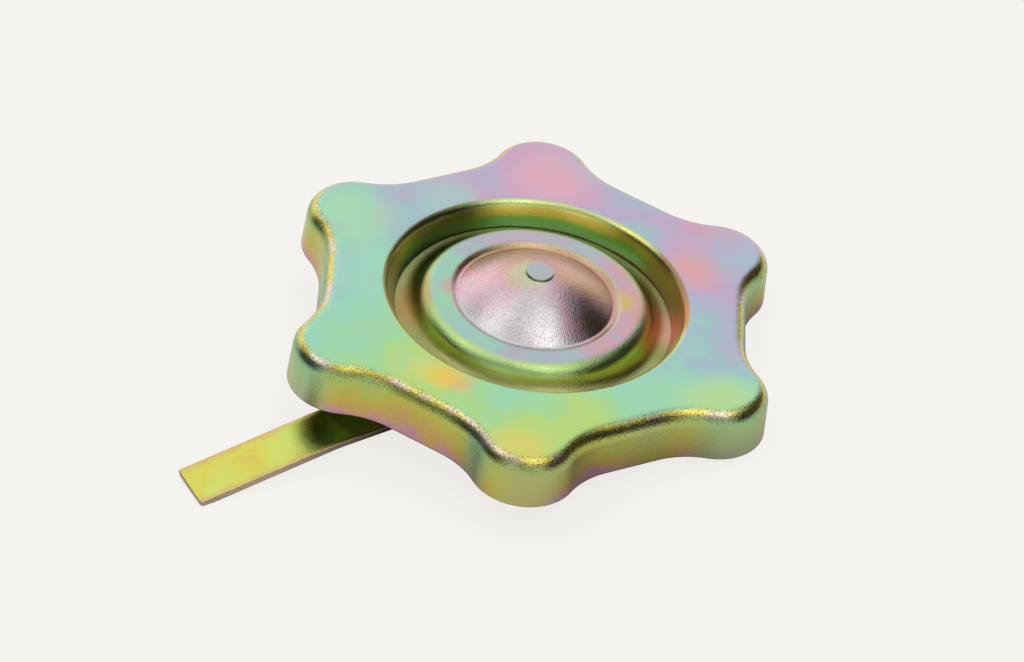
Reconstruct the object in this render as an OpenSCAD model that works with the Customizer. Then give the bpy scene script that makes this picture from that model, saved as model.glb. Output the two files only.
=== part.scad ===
// Twist-on reservoir cap: a six-lobed pressed handle on a domed centre pressing, with a seal,
// a locking cup whose two ears turn under the lip of the filler neck, and a swinging dipstick.
// The origin is the centre of the seal's seating face. +Z points out of the cap, a lobe is on +X.

/* [Sheet] */
// Thickness of the steel sheet of the handle and of the centre pressing
sheet_t = 0.9; // [0.7:0.05:1.1]
// Thickness of the steel sheet of the locking cup
cup_t = 0.9; // [0.7:0.05:1.1]

/* [Handle] */
// Radius from the axis to the tip of a lobe
tip_r = 31.5; // [30.5:0.1:33]
// Distance from the axis to the flat side between two lobes, as a share of the radius to a tip
flat_share = 0.806; // [0.78:0.002:0.82]
// Half length of the flat side between two lobes
flat_half = 3.6; // [2.5:0.1:4.5]
// Radius of a lobe's round nose
nose_r = 6.1; // [5.5:0.1:6.8]
// Height of the handle, from its top face to the foot of its skirt
handle_h = 6.5; // [6:0.1:7.5]
// Outer radius of the rolled edge between top face and skirt
edge_r = 2.1; // [1.4:0.1:2.6]
// How far the skirt flares outward at its foot
skirt_flare = 0.35; // [0:0.05:0.6]
// Radius at which the lip of the recess leaves the flat top face
recess_r = 19; // [18.5:0.1:19.6]
// Outer radius of the rolled lip of the recess
lip_r = 1.5; // [1.1:0.1:2]
// Depth of the recess, from the top face to the flange it stands on
recess_depth = 3.1; // [2.8:0.1:3.6]
// Radius of the foot of the recess wall
wall_foot_r = 16.6; // [16.3:0.1:17]

/* [Centre pressing] */
// Radius of the small flat at the dome's very top, where it starts to fall away
pad_r = 0.2; // [0.1:0.1:1]
// Slope of the dome's flank
dome_slope = 36; // [34:1:38]
// Radius of the dome's foot
dome_r = 9.1; // [8.6:0.1:9.4]
// Height of the dome's top above the handle's top face
dome_rise = 3.3; // [2.6:0.1:3.8]
// Depth of the dome's foot below the raised ring around it
dome_sink = 1; // [0.7:0.05:1.1]
// Depth of the raised ring below the handle's top face
ring_drop = 0.3; // [0:0.05:0.5]
// Radius of the raised ring's outer edge, before it is rounded
ring_r = 13.2; // [12.9:0.1:13.4]
// Radius of the foot of the raised ring's wall, before it is rounded
ring_foot_r = 14.2; // [13.9:0.1:14.4]
// Outer radius of the raised ring's rolled edge
ring_edge_r = 1.9; // [1.3:0.1:2]
// Outer radius of the rim that is turned down around the seal
guard_r = 21.6; // [21.2:0.1:22.2]
// How far the seal stands out below that rim
seal_proud = 0.4; // [0.2:0.05:0.8]

/* [Seal] */
// Thickness of the rubber seal
seal_t = 1.8; // [1.5:0.1:2.4]
// Inner radius of the seal
seal_in_r = 16.1; // [15.9:0.1:16.8]
// Bevel on the seal's two outer corners
seal_bevel = 0.25; // [0.1:0.05:0.4]

/* [Locking cup] */
// Outer radius of the cup's wall
cup_r = 8.4; // [8:0.1:8.8]
// Gap between the seal's face and the ears, which the lip of the neck fills
lip_gap = 1.2; // [1:0.1:1.8]
// Radius from the axis to the end of an ear
ear_r = 15.6; // [15:0.1:15.8]
// Width of an ear
ear_w = 11; // [9:0.5:12]
// Width of the two windows that the dipstick swings through
window_w = 13.5; // [13.3:0.1:14]

/* [Rivet and hinge pin] */
// Radius of the rivet's shank, whose end shows on the dome
rivet_r = 1.65; // [1.4:0.05:1.8]
// Height of the rivet's end above the dome's top
rivet_proud = 0.2; // [0.1:0.05:0.4]
// Radius of the rivet's head inside the cup
rivet_head_r = 2.1; // [1.9:0.1:2.2]
// Thickness of the rivet's head
rivet_head_t = 1.2; // [0.8:0.1:1.6]
// Radius of the hinge pin
pin_r = 0.9; // [0.7:0.05:1]
// Height of the hinge pin's axis above the seal's face
pin_z = 0.35; // [0.2:0.05:0.6]
// Radius of the pin's two formed heads
pin_head_r = 1.35; // [1.2:0.05:1.5]
// Thickness of each of the pin's heads
pin_head_t = 0.45; // [0.3:0.05:0.6]

/* [Dipstick] */
// Width of the dipstick's strip
strip_w = 6.35; // [6:0.05:6.6]
// Thickness of the dipstick's strip
strip_t = 0.8; // [0.6:0.05:0.9]
// Length of the straight stretch from the eye to the bend
strip_root = 28.9; // [27:0.1:31]
// Length of the straight stretch from the bend to the tip
strip_tip = 18; // [12:0.5:24]
// Angle of the bend
strip_bend = 5.6; // [3:0.2:7]
// Radius of the bend's upper side
strip_bend_r = 14; // [8:1:20]
// Slope of the stretch beside the eye, below the plane of the cap, as the dipstick lies folded
strip_slope = 7.8; // [7:0.1:9]
// Distance that the dipstick has slid along its pin, away from the cap's axis
strip_slide = 3.3; // [0:0.1:3.4]
// Radius of the two corners at the tip
strip_corner = 0.7; // [0.3:0.1:1.5]
// Running clearance between the eye and the pin, on the radius
eye_clear = 0.1; // [0.05:0.01:0.1]
// Angle through which the strip is curled around the pin
eye_curl = 290; // [270:1:295]

/* [Hidden] */
$fn = 96;

// Number of lobes, and the angle from a lobe's middle to the middle of a flat side
lobes = 6;
half_step = 180 / lobes;

// Heights of the faces that stack up from the seal's seating face
flange_z = seal_t + sheet_t;
top_z = flange_z + recess_depth;
skirt_z = top_z - handle_h;
dome_z = top_z + dome_rise;
crown_z = dome_z - sheet_t;
ring_z = top_z - ring_drop;
dish_z = ring_z - dome_sink;

// Distance from the axis to a flat side
flat_r = tip_r * flat_share;

// Centre of a lobe's nose, and the direction across and along a flat side
nose_c = [tip_r - nose_r, 0];
across = [cos(half_step), sin(half_step)];
along = [sin(half_step), -cos(half_step)];

// The hollow flank between nose and flat side touches both: its radius and centre follow from that
nose_along = nose_c * along - flat_half;
nose_across = nose_c * across - flat_r;
hollow_r = (nose_along^2 + nose_across^2 - nose_r^2) / (2 * (nose_r + nose_across));
hollow_c = flat_half * along + (flat_r + hollow_r) * across;
nose_turn = atan2(hollow_c.y - nose_c.y, hollow_c.x - nose_c.x);

// Angle of one step of a fillet, outside and inside the handle's sheet and on the round pressings,
// and the steps along a nose, a hollow flank and a flat side
fillet_step = 15;
inner_step = 30;
round_step = 9;
nose_steps = 10;
hollow_steps = 3;
flat_steps = 4;

// The dome rounds from its top to its flank: where the two would meet, and the radius between them
dome_knee_r = dome_r - (dome_z - dish_z) / tan(dome_slope);
dome_bend_r = (dome_knee_r - pad_r) / tan(dome_slope / 2);

// Fillets of the pressings, on their upper side
dish_r = 0.8;
dish_lip_r = 1;
wall_foot_fillet = 1.4;
guard_bend_r = 1.5;
cup_shoulder_r = 1.8;
ear_bend_r = 0.3;
// Width of the dish between the dome's foot and the raised ring
dish_w = 1.1;

// Width of the flange on the locking cup's rim between the ears, the height of the ears, and the
// height of the windows' upper edge, which stands a little above the handle's flange
cup_rim_w = 0.4;
ear_z = -lip_gap;
window_rise = 0.6;
window_z = flange_z + window_rise;

// How far a cutting shape runs past what it cuts, and how far parts of one solid run into each other
past = 5;
joined = 0.1;

// The dipstick's eye: its bore, the slightly smaller radius it is curled to, its steps, and the
// strip's direction
eye_in_r = pin_r + eye_clear;
curl_tight = 0.08;
curl_r = eye_in_r - curl_tight;
curl_steps = 20;
strip_dir = [cos(strip_slope), sin(strip_slope)];
eye_c = [0, pin_z];

// Unit vector along v, v turned a quarter turn to the left, and v turned by an angle
function unit(v) = v / norm(v);
function left(v) = [-v.y, v.x];
function turned_by(v, angle) =
    [v.x * cos(angle) - v.y * sin(angle), v.x * sin(angle) + v.y * cos(angle)];
function reversed(list) = [for (i = [len(list) - 1 : -1 : 0]) list[i]];
// Direction of a path's stretch i, and the signed turn from one direction to the next
function course(path, i) = unit(path[i + 1] - path[i]);
function turn(a, b) = atan2(a.x * b.y - a.y * b.x, a * b);

// Points on a fillet between two stretches of a path, on the side that lies off below its upper side
function fillet(corner, before, after, r, off, step) =
    let (
        bend = turn(before, after),
        side = bend > 0 ? 1 : -1,
        start = corner - before * r * tan(abs(bend) / 2),
        centre = start + side * r * left(before),
        steps = max(1, ceil(abs(bend) / step))
    )
    [
        for (j = [0 : steps])
            centre - side * (r + side * off) * turned_by(left(before), bend * j / steps)
    ];

// One side of a bent sheet, off below the upper side
function sheet_side(path, radii, off, step = round_step) =
    let (last = len(path) - 1)
    concat(
        [path[0] - off * left(course(path, 0))],
        [
            for (i = [1 : last - 1])
                each fillet(path[i], course(path, i - 1), course(path, i), radii[i], off, step)
        ],
        [path[last] - off * left(course(path, last - 1))]
    );

// Section of bent sheet of thickness t. The path is its upper side, drawn from left to right, and
// radii holds the radius of the upper side at each point of the path
function bent_sheet(path, radii, t) =
    concat(sheet_side(path, radii, t), reversed(sheet_side(path, radii, 0)));

// Stations around the six-lobed outline: each is a point and the direction outward from it
function hollow_station(from_flat, mirrored) =
    let (
        angle = nose_turn - (nose_turn - half_step) * from_flat,
        out = [cos(angle), sin(angle)],
        s = mirrored ? -1 : 1
    )
    [[hollow_c.x - hollow_r * out.x, s * (hollow_c.y - hollow_r * out.y)], [out.x, s * out.y]];
function nose_station(angle) = [nose_c + nose_r * [cos(angle), sin(angle)], [cos(angle), sin(angle)]];
function flat_station(share) = [flat_r * across + flat_half * (1 - 2 * share) * along, across];
lobe_stations = concat(
    [for (j = [0 : hollow_steps]) hollow_station(1 - j / hollow_steps, true)],
    [for (j = [1 : nose_steps - 1]) nose_station(nose_turn * (2 * j / nose_steps - 1))],
    [for (j = [0 : hollow_steps]) hollow_station(j / hollow_steps, false)],
    [for (j = [1 : flat_steps - 1]) flat_station(j / flat_steps)]
);
stations = [
    for (k = [0 : lobes - 1]) for (s = lobe_stations) [for (v = s) turned_by(v, k * 360 / lobes)]
];

// Point of the handle at a station. Points of the edge are placed from the outline, and points of
// the recess keep their radius, so the flat top face joins the six-lobed edge to the round recess
function edge_point(s, p) = [s[0].x + p.x * s[1].x, s[0].y + p.x * s[1].y, p.y];
function recess_point(s, p) = let (u = unit(s[0])) [p.x * u.x, p.x * u.y, p.y];

// Sections of the handle: its edge is drawn from the flat top face out to the skirt's foot, and its
// recess from the wall's foot on the flange up to the flat top face
edge_path = [[-tip_r, top_z], [0, top_z], [skirt_flare, skirt_z]];
recess_path = [[wall_foot_r, flange_z], [recess_r - lip_r, top_z], [tip_r, top_z]];
function edge_side(off, step) =
    let (side = sheet_side(edge_path, [0, edge_r, 0], off, step))
    [for (i = [1 : len(side) - 1]) side[i]];
function recess_side(off, step) =
    let (
        side = sheet_side(recess_path, [0, lip_r, 0], off, step),
        foot = wall_foot_r + off / course(recess_path, 0).y
    )
    concat([[foot, flange_z]], [for (i = [1 : len(side) - 2]) side[i]]);

module star_handle() {
    loops = [
        for (s = stations) concat(
            [for (p = recess_side(sheet_t, inner_step)) recess_point(s, p)],
            [for (p = edge_side(sheet_t, inner_step)) edge_point(s, p)],
            [for (p = reversed(edge_side(0, fillet_step))) edge_point(s, p)],
            [for (p = reversed(recess_side(0, fillet_step))) recess_point(s, p)]
        )
    ];
    color("#a9cbb4") ring_of_loops(loops);
}

// Closed ring through a list of loops with equal numbers of points
module ring_of_loops(loops) {
    n = len(loops[0]);
    count = len(loops);
    points = [for (loop = loops) each loop];
    faces = [
        for (i = [0 : count - 1]) for (j = [0 : n - 1])
            let (i2 = (i + 1) % count, j2 = (j + 1) % n)
            [i * n + j, i * n + j2, i2 * n + j2, i2 * n + j]
    ];
    polyhedron(points = points, faces = faces, convexity = 8);
}

module centre_pressing() {
    path = [
        [0, dome_z],
        [dome_knee_r, dome_z],
        [dome_r, dish_z],
        [dome_r + dish_w, ring_z],
        [ring_r, ring_z],
        [ring_foot_r, flange_z],
        [guard_r, flange_z],
        [guard_r, seal_proud]
    ];
    radii = [0, dome_bend_r, dish_r, dish_lip_r, ring_edge_r, wall_foot_fillet, guard_bend_r, 0];
    color("#cbb3b4") difference() {
        rotate_extrude() polygon(bent_sheet(path, radii, sheet_t));
        translate([0, 0, crown_z - past]) cylinder(h = sheet_t + 2 * past, r = rivet_r);
    }
}

module seal_ring() {
    seal_out_r = guard_r - sheet_t;
    corner_fit = guard_bend_r - sheet_t;
    color("#1d1d1f") rotate_extrude() polygon([
        [seal_in_r + seal_bevel, 0],
        [seal_out_r - seal_bevel, 0],
        [seal_out_r, seal_bevel],
        [seal_out_r, seal_t - corner_fit],
        [seal_out_r - corner_fit, seal_t],
        [seal_in_r, seal_t],
        [seal_in_r, seal_bevel]
    ]);
}

// Path of the locking cup's outside and the radii along it. The crown nests in the dome, and the
// wall turns outward into the ears
crown_knee_r = dome_knee_r - sheet_t * tan(dome_slope / 2);
cup_path = [
    [0, crown_z],
    [crown_knee_r, crown_z],
    [cup_r, crown_z - (cup_r - crown_knee_r) * tan(dome_slope)],
    [cup_r, ear_z],
    [ear_r, ear_z]
];
cup_radii = [0, dome_bend_r - sheet_t, cup_shoulder_r, ear_bend_r, 0];

// Outline of the two ears, seen along the axis, and the disc inside the cup's wall
module ears_outline() {
    circle(cup_r + cup_rim_w);
    translate([-ear_w / 2, -ear_r]) square([ear_w, 2 * ear_r]);
}

module locking_cup() {
    color("#b9b36a") difference() {
        intersection() {
            rotate_extrude() polygon(bent_sheet(cup_path, cup_radii, cup_t));
            translate([0, 0, ear_z - past]) linear_extrude(dome_z - ear_z + past) ears_outline();
        }
        translate([-cup_r - past, -window_w / 2, ear_z - past])
            cube([2 * (cup_r + past), window_w, window_z - ear_z + past]);
        translate([0, 0, crown_z - past]) cylinder(h = 2 * past, r = rivet_r);
        translate([0, ear_r, pin_z]) rotate([90, 0, 0]) cylinder(h = 2 * ear_r, r = pin_r);
    }
}

// The rivet's head is pressed to the inside of the cup's crown, so its shoulder follows the crown
module centre_rivet() {
    crown_side = sheet_side(cup_path, cup_radii, cup_t);
    shoulder_z = lookup(rivet_r, crown_side);
    rim_z = lookup(rivet_head_r, crown_side);
    end_z = dome_z + rivet_proud;
    head_z = rim_z - rivet_head_t;
    color("#aeb6a0") rotate_extrude() polygon([
        [0, head_z],
        [rivet_head_r, head_z],
        [rivet_head_r, rim_z],
        [rivet_r, shoulder_z],
        [rivet_r, end_z],
        [0, end_z]
    ]);
}

module hinge_pin() {
    shank = 2 * cup_r;
    color("#9aa08c") translate([0, 0, pin_z]) rotate([90, 0, 0]) union() {
        translate([0, 0, -shank / 2 - joined]) cylinder(h = shank + 2 * joined, r = pin_r);
        for (s = [-1, 1]) translate([0, 0, s * (shank + pin_head_t) / 2 - pin_head_t / 2])
            cylinder(h = pin_head_t, r = pin_head_r);
    }
}

// Section of the dipstick, seen from the side: tip, bend, straight root and curled eye. The eye is
// curled a little tighter than its bore, which is cut afterwards
function dipstick_section() =
    let (
        tip_slope = strip_slope + strip_bend,
        leave = eye_c + curl_r * [strip_dir.y, -strip_dir.x],
        bend_point = leave - strip_root * strip_dir,
        tip_point = bend_point - strip_tip * [cos(tip_slope), sin(tip_slope)],
        path = [tip_point, bend_point, leave],
        radii = [0, strip_bend_r, 0],
        first = [strip_dir.y, -strip_dir.x],
        curl = [for (j = [1 : curl_steps]) turned_by(first, j * eye_curl / curl_steps)]
    )
    concat(
        sheet_side(path, radii, strip_t),
        [for (v = curl) eye_c + (curl_r + strip_t) * v],
        [for (v = reversed(curl)) eye_c + curl_r * v],
        reversed(sheet_side(path, radii, 0))
    );

// Outline of the dipstick seen along the cap's axis, with rounded corners at its tip
module dipstick_outline() {
    reach = strip_root + strip_tip + 2 * (eye_in_r + strip_t);
    half = strip_w / 2;
    tip_slope = strip_slope + strip_bend;
    tip_x = eye_c.x + curl_r * strip_dir.y - strip_root * strip_dir.x - strip_tip * cos(tip_slope);
    translate([tip_x + strip_corner, -half]) square([reach, strip_w]);
    translate([tip_x - strip_t, strip_corner - half]) square([reach, strip_w - 2 * strip_corner]);
    for (s = [-1, 1]) translate([tip_x + strip_corner, s * (half - strip_corner)]) circle(strip_corner);
}

module dipstick() {
    color("#b7bb62") translate([0, -strip_slide, 0]) difference() {
        intersection() {
            translate([0, strip_w / 2, 0])
                rotate([90, 0, 0]) linear_extrude(strip_w) polygon(dipstick_section());
            translate([0, 0, -strip_root]) linear_extrude(2 * strip_root) dipstick_outline();
        }
        translate([0, strip_w, pin_z]) rotate([90, 0, 0]) cylinder(h = 2 * strip_w, r = eye_in_r);
    }
}

star_handle();
centre_pressing();
seal_ring();
locking_cup();
centre_rivet();
hinge_pin();
dipstick();
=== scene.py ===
"""Looks of a twist-on reservoir cap: a six-lobed pressed handle on a domed centre pressing.

The pieces are the handle, the centre pressing with its rivet, the rubber seal, the locking cup,
the hinge pin and the dipstick. Lengths are in metres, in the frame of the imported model: the
origin is the centre of the seal's seating face, +Z points out of the cap and a lobe is on +X.
"""
from __future__ import annotations

import logging
import math
from dataclasses import dataclass
from enum import Enum
from typing import Any, Mapping, Sequence

import bmesh
import bpy
from mathutils import Matrix, Vector


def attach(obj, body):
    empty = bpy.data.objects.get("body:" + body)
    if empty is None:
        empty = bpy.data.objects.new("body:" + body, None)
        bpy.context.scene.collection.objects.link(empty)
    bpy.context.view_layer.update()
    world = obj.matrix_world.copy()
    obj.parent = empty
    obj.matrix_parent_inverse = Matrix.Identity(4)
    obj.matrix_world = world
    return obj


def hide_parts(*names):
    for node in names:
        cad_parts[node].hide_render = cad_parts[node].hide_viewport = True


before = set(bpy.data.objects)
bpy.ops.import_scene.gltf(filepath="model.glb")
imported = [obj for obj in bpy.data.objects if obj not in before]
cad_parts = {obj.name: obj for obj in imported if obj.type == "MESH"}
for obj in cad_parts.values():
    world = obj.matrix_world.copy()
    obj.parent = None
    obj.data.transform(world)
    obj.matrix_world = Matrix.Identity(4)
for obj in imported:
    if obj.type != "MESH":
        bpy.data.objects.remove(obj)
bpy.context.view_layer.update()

LOG = logging.getLogger("reservoir_cap")
Point = tuple[float, float]
Point3 = tuple[float, float, float]

MM = 0.001
# heights that several pieces share, in mm
FLANGE_Z = 2.7
HANDLE_Z = 5.8
RING_Z = 5.5
SHEET_T = 0.9
# gaps under which vertices are merged, in metres
NEW_GAP = 1e-7
CAD_GAP = 1e-6
# steps of a rounded corner, and the angle from which an edge counts as sharp
ROUNDING = 3
SHARP = math.radians(50)


def deselect_all() -> None:
    """Leave edit mode and select nothing."""
    if bpy.context.object is not None and bpy.context.object.mode != "OBJECT":
        bpy.ops.object.mode_set(mode="OBJECT")
    for one in bpy.context.selected_objects:
        one.select_set(False)


def make_active(piece: bpy.types.Object) -> None:
    """Select one object alone and make it the active one."""
    deselect_all()
    piece.select_set(True)
    bpy.context.view_layer.objects.active = piece


# sections of sheet
def unit(v: Point) -> Point:
    """Vector v at length one."""
    length = math.hypot(*v)
    return v[0] / length, v[1] / length


def turned(v: Point, angle: float) -> Point:
    """Vector v turned to the left by an angle in radians."""
    c, s = math.cos(angle), math.sin(angle)
    return v[0] * c - v[1] * s, v[0] * s + v[1] * c


@dataclass(frozen=True)
class SheetPath:
    """A bent sheet seen in section, drawn along its upper side from left to right, in mm."""

    points: tuple[Point, ...]
    radii: tuple[float, ...]
    step: float = 6.0
    support: float = 0.25

    def course(self, i: int) -> Point:
        """Direction of stretch i."""
        a, b = self.points[i], self.points[i + 1]
        return unit((b[0] - a[0], b[1] - a[1]))

    def side(self, off: float) -> list[Point]:
        """Points of the side that lies off below the upper side.

        Args:
            off: Distance below the upper side.

        Returns:
            The side's points, with a support point beside each fillet's ends.
        """
        first, last = self.course(0), self.course(len(self.points) - 2)
        out = [self._shift(self.points[0], first, off)]
        for i in range(1, len(self.points) - 1):
            out.extend(self._fillet(i, off))
        out.append(self._shift(self.points[-1], last, off))
        return self._supported(out)

    def _shift(self, point: Point, along: Point, off: float) -> Point:
        """A point moved square to a direction, off to its right."""
        return point[0] + off * along[1], point[1] - off * along[0]

    def _fillet(self, i: int, off: float) -> list[Point]:
        """Points of the fillet at corner i, on the side off below the upper side."""
        before, after, radius = self.course(i - 1), self.course(i), self.radii[i]
        bend = math.atan2(before[0] * after[1] - before[1] * after[0],
                          before[0] * after[0] + before[1] * after[1])
        side = 1.0 if bend > 0 else -1.0
        back = radius * math.tan(abs(bend) / 2)
        start = (self.points[i][0] - before[0] * back, self.points[i][1] - before[1] * back)
        normal = (-before[1], before[0])
        centre = (start[0] + side * radius * normal[0], start[1] + side * radius * normal[1])
        steps = max(2, math.ceil(abs(math.degrees(bend)) / self.step))
        reach = side * (radius + side * off)
        out = []
        for j in range(steps + 1):
            ray = turned(normal, bend * j / steps)
            out.append((centre[0] - reach * ray[0], centre[1] - reach * ray[1]))
        return out

    def _supported(self, points: list[Point]) -> list[Point]:
        """Points with a support point near both ends of every long stretch."""
        out = [points[0]]
        for a, b in zip(points, points[1:]):
            length = math.hypot(b[0] - a[0], b[1] - a[1])
            if length > 4 * self.support:
                share = self.support / length
                out.append((a[0] + (b[0] - a[0]) * share, a[1] + (b[1] - a[1]) * share))
                out.append((b[0] - (b[0] - a[0]) * share, b[1] - (b[1] - a[1]) * share))
            out.append(b)
        return out


def rounded_loop(points: Sequence[Point], radii: Mapping[int, float]) -> list[Point]:
    """A closed section with some of its corners rounded.

    Args:
        points: The section's points, in order.
        radii: Radius by the index of the corner it rounds.

    Returns:
        The rounded section's points.
    """
    out: list[Point] = []
    count = len(points)
    for i, point in enumerate(points):
        radius = radii.get(i)
        if radius is None:
            out.append(point)
            continue
        a, b = points[i - 1], points[(i + 1) % count]
        into = unit((point[0] - a[0], point[1] - a[1]))
        away = unit((b[0] - point[0], b[1] - point[1]))
        for j in range(ROUNDING + 1):
            t = j / ROUNDING
            p0 = (point[0] - into[0] * radius, point[1] - into[1] * radius)
            p2 = (point[0] + away[0] * radius, point[1] + away[1] * radius)
            w0, w1, w2 = (1 - t) ** 2, 2 * t * (1 - t), t * t
            out.append((w0 * p0[0] + w1 * point[0] + w2 * p2[0],
                        w0 * p0[1] + w1 * point[1] + w2 * p2[1]))
    return out


# mesh operations
def start_vertex(name: str, place: Vector) -> bpy.types.Object:
    """A new mesh of one vertex, in edit mode with that vertex selected."""
    deselect_all()
    bpy.ops.mesh.primitive_plane_add(size=MM, location=(0, 0, 0))
    piece = bpy.context.object
    piece.name = piece.data.name = name
    bpy.ops.object.mode_set(mode="EDIT")
    bpy.ops.mesh.select_mode(type="VERT")
    bpy.ops.mesh.select_all(action="SELECT")
    bpy.ops.mesh.merge(type="CENTER")
    bpy.ops.transform.translate(value=place)
    return piece


def extrude_by(step: Vector) -> None:
    """Extrude what is selected by a step."""
    bpy.ops.mesh.extrude_region_move(TRANSFORM_OT_translate={"value": step})


def close_up() -> None:
    """Merge doubled vertices, face the whole mesh outwards and leave edit mode."""
    bpy.ops.mesh.select_all(action="SELECT")
    bpy.ops.mesh.remove_doubles(threshold=NEW_GAP)
    bpy.ops.mesh.normals_make_consistent(inside=False)
    bpy.ops.object.mode_set(mode="OBJECT")
    bpy.ops.object.shade_smooth()


def spun_piece(name: str, section: Sequence[Point], closed: bool, steps: int = 192,
               axis: Vector = Vector((0, 0, 1)), centre: Vector = Vector((0, 0, 0))) -> bpy.types.Object:
    """A piece of revolution, extruded as a wire and spun round.

    Args:
        name: Name of the piece.
        section: Section points (distance from the axis, place along it), in mm.
        closed: Whether the section is a closed loop; otherwise it begins and ends on the axis.
        steps: Steps of the spin.
        axis: Direction of the axis.
        centre: A point of the axis, from which the section's places are counted.

    Returns:
        The piece, in object mode.
    """
    outward = Vector((1, 0, 0)) if abs(axis.x) < 0.5 else Vector((0, 0, 1))

    def place(point: Point) -> Vector:
        return centre + outward * point[0] * MM + axis * point[1] * MM

    path = [place(p) for p in section] + ([place(section[0])] if closed else [])
    piece = start_vertex(name, path[0])
    for a, b in zip(path, path[1:]):
        extrude_by(b - a)
    bpy.ops.mesh.select_all(action="SELECT")
    bpy.ops.mesh.spin(steps=steps, angle=2 * math.pi, center=centre, axis=axis)
    close_up()
    return piece


def ring_of_loops(name: str, rings: Sequence[Sequence[Vector]]) -> bpy.types.Object:
    """A closed tube of rings round the Z axis, extruded ring by ring and bridged.

    Args:
        name: Name of the piece.
        rings: For each point of the section, its places round the axis, in order of their angle.

    Returns:
        The piece, in object mode.
    """
    deselect_all()
    count = len(rings[0])
    bpy.ops.mesh.primitive_circle_add(vertices=count, radius=0.02, fill_type="NOTHING")
    piece = bpy.context.object
    piece.name = piece.data.name = name
    bpy.ops.object.mode_set(mode="EDIT")
    bpy.ops.mesh.select_mode(type="VERT")
    bpy.ops.mesh.select_all(action="SELECT")
    place_ring(piece, rings[0])
    for ring in rings[1:]:
        bpy.ops.mesh.extrude_region_move(TRANSFORM_OT_translate={"value": (0, 0, 0)})
        place_ring(piece, ring)
    bpy.ops.mesh.select_all(action="DESELECT")
    bpy.ops.mesh.select_mode(type="EDGE")
    bpy.ops.mesh.select_non_manifold(extend=False)
    bpy.ops.mesh.bridge_edge_loops()
    bpy.ops.mesh.select_mode(type="VERT")
    close_up()
    return piece


def place_ring(piece: bpy.types.Object, ring: Sequence[Vector]) -> None:
    """Move the selected ring's vertices to their places, matched by their angle about Z."""
    mesh = bmesh.from_edit_mesh(piece.data)
    picked = sorted((v for v in mesh.verts if v.select), key=lambda v: math.atan2(v.co.y, v.co.x))
    places = sorted(ring, key=lambda p: math.atan2(p.y, p.x))
    for vertex, spot in zip(picked, places):
        vertex.co = spot
    bmesh.update_edit_mesh(piece.data)


def apply_modifier(piece: bpy.types.Object, kind: str, **settings: Any) -> None:
    """Add a modifier with its settings and apply it."""
    make_active(piece)
    modifier = piece.modifiers.new(kind.lower(), kind)
    for key, value in settings.items():
        setattr(modifier, key, value)
    bpy.ops.object.modifier_apply(modifier=modifier.name)


def break_edges(piece: bpy.types.Object, width: float, segments: int, smooth: float) -> None:
    """Bevel a piece's sharp edges and shade it smooth.

    Args:
        piece: The piece.
        width: Width of the bevels, in mm.
        segments: Segments of each bevel.
        smooth: Angle up to which neighbouring faces are shaded as one, in degrees.
    """
    apply_modifier(piece, "BEVEL", width=width * MM, segments=segments, limit_method="ANGLE",
                   angle_limit=SHARP)
    bpy.ops.object.shade_smooth_by_angle(angle=math.radians(smooth))


def merged_copy(node: str, name: str) -> bpy.types.Object:
    """A merged copy of a CAD node, without the solid's own normals.

    Args:
        node: Name of the CAD node.
        name: Name of the new piece.

    Returns:
        The new piece.
    """
    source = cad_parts[node]
    piece = bpy.data.objects.new(name, source.data.copy())
    bpy.context.scene.collection.objects.link(piece)
    make_active(piece)
    bpy.ops.object.mode_set(mode="EDIT")
    bpy.ops.mesh.select_all(action="SELECT")
    bpy.ops.mesh.remove_doubles(threshold=CAD_GAP)
    bpy.ops.object.mode_set(mode="OBJECT")
    if piece.data.has_custom_normals:
        bpy.ops.mesh.customdata_custom_splitnormals_clear()
    return piece


# materials
# how far up a face looks where one colouring gives way to the next
TO_ROLL = (0.97, 0.8)
TO_UPRIGHT = (0.8, 0.5)
# painted dark reflection: where the dark specks along a roll begin below level and end before upright
PAINTED_DARK_FROM_LEVEL = (0.985, 0.9)
PAINTED_DARK_FROM_UPRIGHT = (0.1, 0.45)
# how far broad and small clouds move the runs of colours
LEVEL_CLOUDS = (1.5, 0.5)
STEEP_CLOUDS = (1.1, 0.6)
WALL_CLOUDS = (0.35, 0.2)
CROWN_CLOUDS = (0.7, 0.4)


def linear(colour: str) -> tuple[float, float, float, float]:
    """A colour written as six hex digits, in linear light."""
    def channel(text: str) -> float:
        value = int(text, 16) / 255
        return value / 12.92 if value <= 0.04045 else ((value + 0.055) / 1.055) ** 2.4

    return channel(colour[0:2]), channel(colour[2:4]), channel(colour[4:6]), 1.0


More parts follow.
